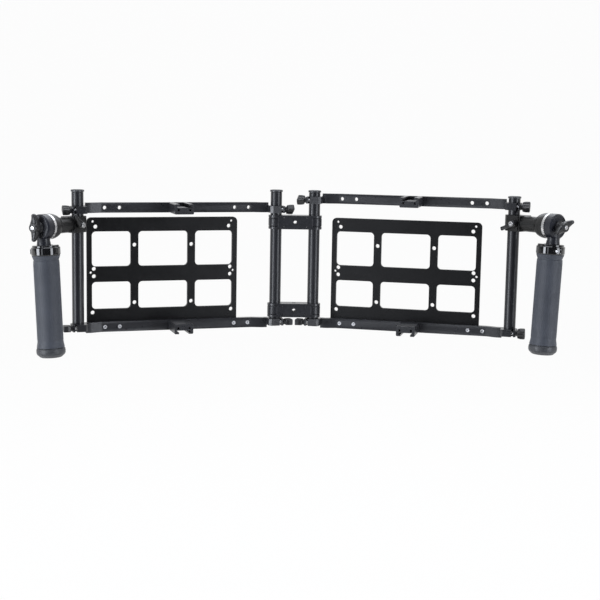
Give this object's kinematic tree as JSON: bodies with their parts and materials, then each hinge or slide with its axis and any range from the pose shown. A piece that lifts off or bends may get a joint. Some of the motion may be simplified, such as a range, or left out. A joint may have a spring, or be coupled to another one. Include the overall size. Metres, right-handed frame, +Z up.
{
  "type": "hinged twin monitor cage",
  "caption": "Two open monitor frames hinged side by side on upright rods, with clamped cross bars, accessory shoes, back plates and a tilting rubber hand grip on a toothed rosette at each end.",
  "frame": {"origin": "centre of the lower hinge link's underside, at the mouth of its stand thread", "axes": "+X to the right along the row of cages, -Y to the front where the monitors face, +Z up along the rods"},
  "size_m": [0.6642, 0.1584, 0.2036],
  "materials": {
    "anodised_dark": "dark grey satin anodised",
    "anodised_black": "black satin anodised",
    "steel": "bright turned steel",
    "rubber": "fine-grained dark grey rubber",
    "gloss_black": "glossy black",
    "matte_black": "satin black moulding"
  },
  "bodies": {
    "hinge_links": {"hinge_link_upper": "anodised_dark", "hinge_link_lower": "anodised_dark"},
    "left_cage": {"left_inner_rod": "anodised_black", "left_inner_cap": "anodised_dark", "left_hinge_collars": "anodised_black", "left_collar_screws": "steel", "left_lower_bar": "anodised_dark", "left_lower_shoe": "anodised_dark", "left_lower_shoe_screws": "steel", "left_back_plate": "anodised_black", "left_plate_screws": "steel"},
    "left_top_bar": {"left_top_bar": "anodised_dark", "left_top_shoe": "anodised_dark", "left_top_shoe_screws": "steel"},
    "left_outer_rod": {"left_outer_rod": "anodised_black", "left_outer_cap": "anodised_dark"},
    "left_handle_clamp": {"left_handle_clamp": "anodised_black", "left_rosette": "steel", "left_rosette_stud": "steel"},
    "left_clamp_lever": {"left_clamp_lever": "matte_black", "left_lever_screw": "steel"},
    "left_handle": {"left_handle_head": "anodised_dark", "left_grip_collar": "gloss_black", "left_grip_rubber": "rubber", "left_grip_end_cap": "matte_black"},
    "left_wing_nut": {"left_wing_nut": "matte_black"},
    "left_thumb_top_outer": {"left_thumb_top_outer": "matte_black"},
    "left_thumb_top_inner": {"left_thumb_top_inner": "matte_black"},
    "left_thumb_low_outer": {"left_thumb_low_outer": "matte_black"},
    "left_thumb_low_inner": {"left_thumb_low_inner": "matte_black"},
    "right_cage": {"right_inner_rod": "anodised_black", "right_inner_cap": "anodised_dark", "right_hinge_collars": "anodised_black", "right_collar_screws": "steel", "right_lower_bar": "anodised_dark", "right_lower_shoe": "anodised_dark", "right_lower_shoe_screws": "steel", "right_back_plate": "anodised_black", "right_plate_screws": "steel"},
    "right_top_bar": {"right_top_bar": "anodised_dark", "right_top_shoe": "anodised_dark", "right_top_shoe_screws": "steel"},
    "right_outer_rod": {"right_outer_rod": "anodised_black", "right_outer_cap": "anodised_dark"},
    "right_handle_clamp": {"right_handle_clamp": "anodised_black", "right_rosette": "steel", "right_rosette_stud": "steel"},
    "right_clamp_lever": {"right_clamp_lever": "matte_black", "right_lever_screw": "steel"},
    "right_handle": {"right_handle_head": "anodised_dark", "right_grip_collar": "gloss_black", "right_grip_rubber": "rubber", "right_grip_end_cap": "matte_black"},
    "right_wing_nut": {"right_wing_nut": "matte_black"},
    "right_thumb_top_outer": {"right_thumb_top_outer": "matte_black"},
    "right_thumb_top_inner": {"right_thumb_top_inner": "matte_black"},
    "right_thumb_low_outer": {"right_thumb_low_outer": "matte_black"},
    "right_thumb_low_inner": {"right_thumb_low_inner": "matte_black"}
  },
  "joints": [
    {"name": "left_cage_swing", "type": "hinge", "parent": "hinge_links", "child": "left_cage", "pos_m": [-0.02525, 0, 0.06], "axis": [0, 0, 1], "range_deg": [-45, 4]},
    {"name": "left_top_bar_slide", "type": "slide", "parent": "left_cage", "child": "left_top_bar", "axis": [0, 0, 1], "range_m": [-0.0003, 0.017]},
    {"name": "left_handle_swivel", "type": "hinge", "parent": "left_cage", "child": "left_outer_rod", "pos_m": [-0.27639, -0.07107, 0.06], "axis": [0, 0, 1], "range_deg": [-30, 45]},
    {"name": "left_handle_slide", "type": "slide", "parent": "left_outer_rod", "child": "left_handle_clamp", "axis": [0, 0, 1], "range_m": [-0.112, 0]},
    {"name": "left_lever_turn", "type": "hinge", "parent": "left_handle_clamp", "child": "left_clamp_lever", "pos_m": [-0.27063, -0.08858, 0.1251], "axis": [-0.8554, 0.518, 0], "range_deg": [-60, 20]},
    {"name": "left_handle_tilt", "type": "hinge", "parent": "left_handle_clamp", "child": "left_handle", "pos_m": [-0.30902, -0.12495, 0.1251], "axis": [0.518, 0.8554, 0], "range_deg": [-80, 80]},
    {"name": "left_wing_nut_spin", "type": "hinge", "parent": "left_handle_clamp", "child": "left_wing_nut", "pos_m": [-0.31679, -0.13778, 0.1251], "axis": [-0.518, -0.8554, 0], "continuous": true},
    {"name": "left_thumb_top_outer_spin", "type": "hinge", "parent": "left_top_bar", "child": "left_thumb_top_outer", "pos_m": [-0.28807, -0.08487, 0.1429], "axis": [-0.9622, -0.2723, 0], "continuous": true},
    {"name": "left_thumb_top_inner_spin", "type": "hinge", "parent": "left_top_bar", "child": "left_thumb_top_inner", "pos_m": [-0.00807, -0.00563, 0.1429], "axis": [0.9622, 0.2723, 0], "continuous": true},
    {"name": "left_thumb_low_outer_spin", "type": "hinge", "parent": "left_cage", "child": "left_thumb_low_outer", "pos_m": [-0.28807, -0.08487, -0.0065], "axis": [-0.9622, -0.2723, 0], "continuous": true},
    {"name": "left_thumb_low_inner_spin", "type": "hinge", "parent": "left_cage", "child": "left_thumb_low_inner", "pos_m": [-0.00807, -0.00563, -0.0065], "axis": [0.9622, 0.2723, 0], "continuous": true},
    {"name": "right_cage_swing", "type": "hinge", "parent": "hinge_links", "child": "right_cage", "pos_m": [0.02525, 0, 0.06], "axis": [0, 0, -1], "range_deg": [-45, 4]},
    {"name": "right_top_bar_slide", "type": "slide", "parent": "right_cage", "child": "right_top_bar", "axis": [0, 0, 1], "range_m": [-0.003, 0.0042]},
    {"name": "right_handle_swivel", "type": "hinge", "parent": "right_cage", "child": "right_outer_rod", "pos_m": [0.27639, -0.07107, 0.06], "axis": [0, 0, -1], "range_deg": [-25, 50]},
    {"name": "right_handle_slide", "type": "slide", "parent": "right_outer_rod", "child": "right_handle_clamp", "axis": [0, 0, 1], "range_m": [-0.121, 0]},
    {"name": "right_lever_turn", "type": "hinge", "parent": "right_handle_clamp", "child": "right_clamp_lever", "pos_m": [0.27237, -0.08906, 0.1347], "axis": [-0.8007, -0.599, 0], "range_deg": [-40, 40]},
    {"name": "right_handle_tilt", "type": "hinge", "parent": "right_handle_clamp", "child": "right_handle", "pos_m": [0.31413, -0.12151, 0.1347], "axis": [0.599, -0.8007, 0], "range_deg": [-80, 80]},
    {"name": "right_wing_nut_spin", "type": "hinge", "parent": "right_handle_clamp", "child": "right_wing_nut", "pos_m": [0.32311, -0.13352, 0.1347], "axis": [0.599, -0.8007, 0], "continuous": true},
    {"name": "right_thumb_top_outer_spin", "type": "hinge", "parent": "right_top_bar", "child": "right_thumb_top_outer", "pos_m": [0.28807, -0.08487, 0.1557], "axis": [0.9622, -0.2723, 0], "continuous": true},
    {"name": "right_thumb_top_inner_spin", "type": "hinge", "parent": "right_top_bar", "child": "right_thumb_top_inner", "pos_m": [0.00807, -0.00563, 0.1557], "axis": [-0.9622, 0.2723, 0], "continuous": true},
    {"name": "right_thumb_low_outer_spin", "type": "hinge", "parent": "right_cage", "child": "right_thumb_low_outer", "pos_m": [0.28807, -0.08487, -0.0065], "axis": [0.9622, -0.2723, 0], "continuous": true},
    {"name": "right_thumb_low_inner_spin", "type": "hinge", "parent": "right_cage", "child": "right_thumb_low_inner", "pos_m": [0.00807, -0.00563, -0.0065], "axis": [-0.9622, 0.2723, 0], "continuous": true}
  ]
}
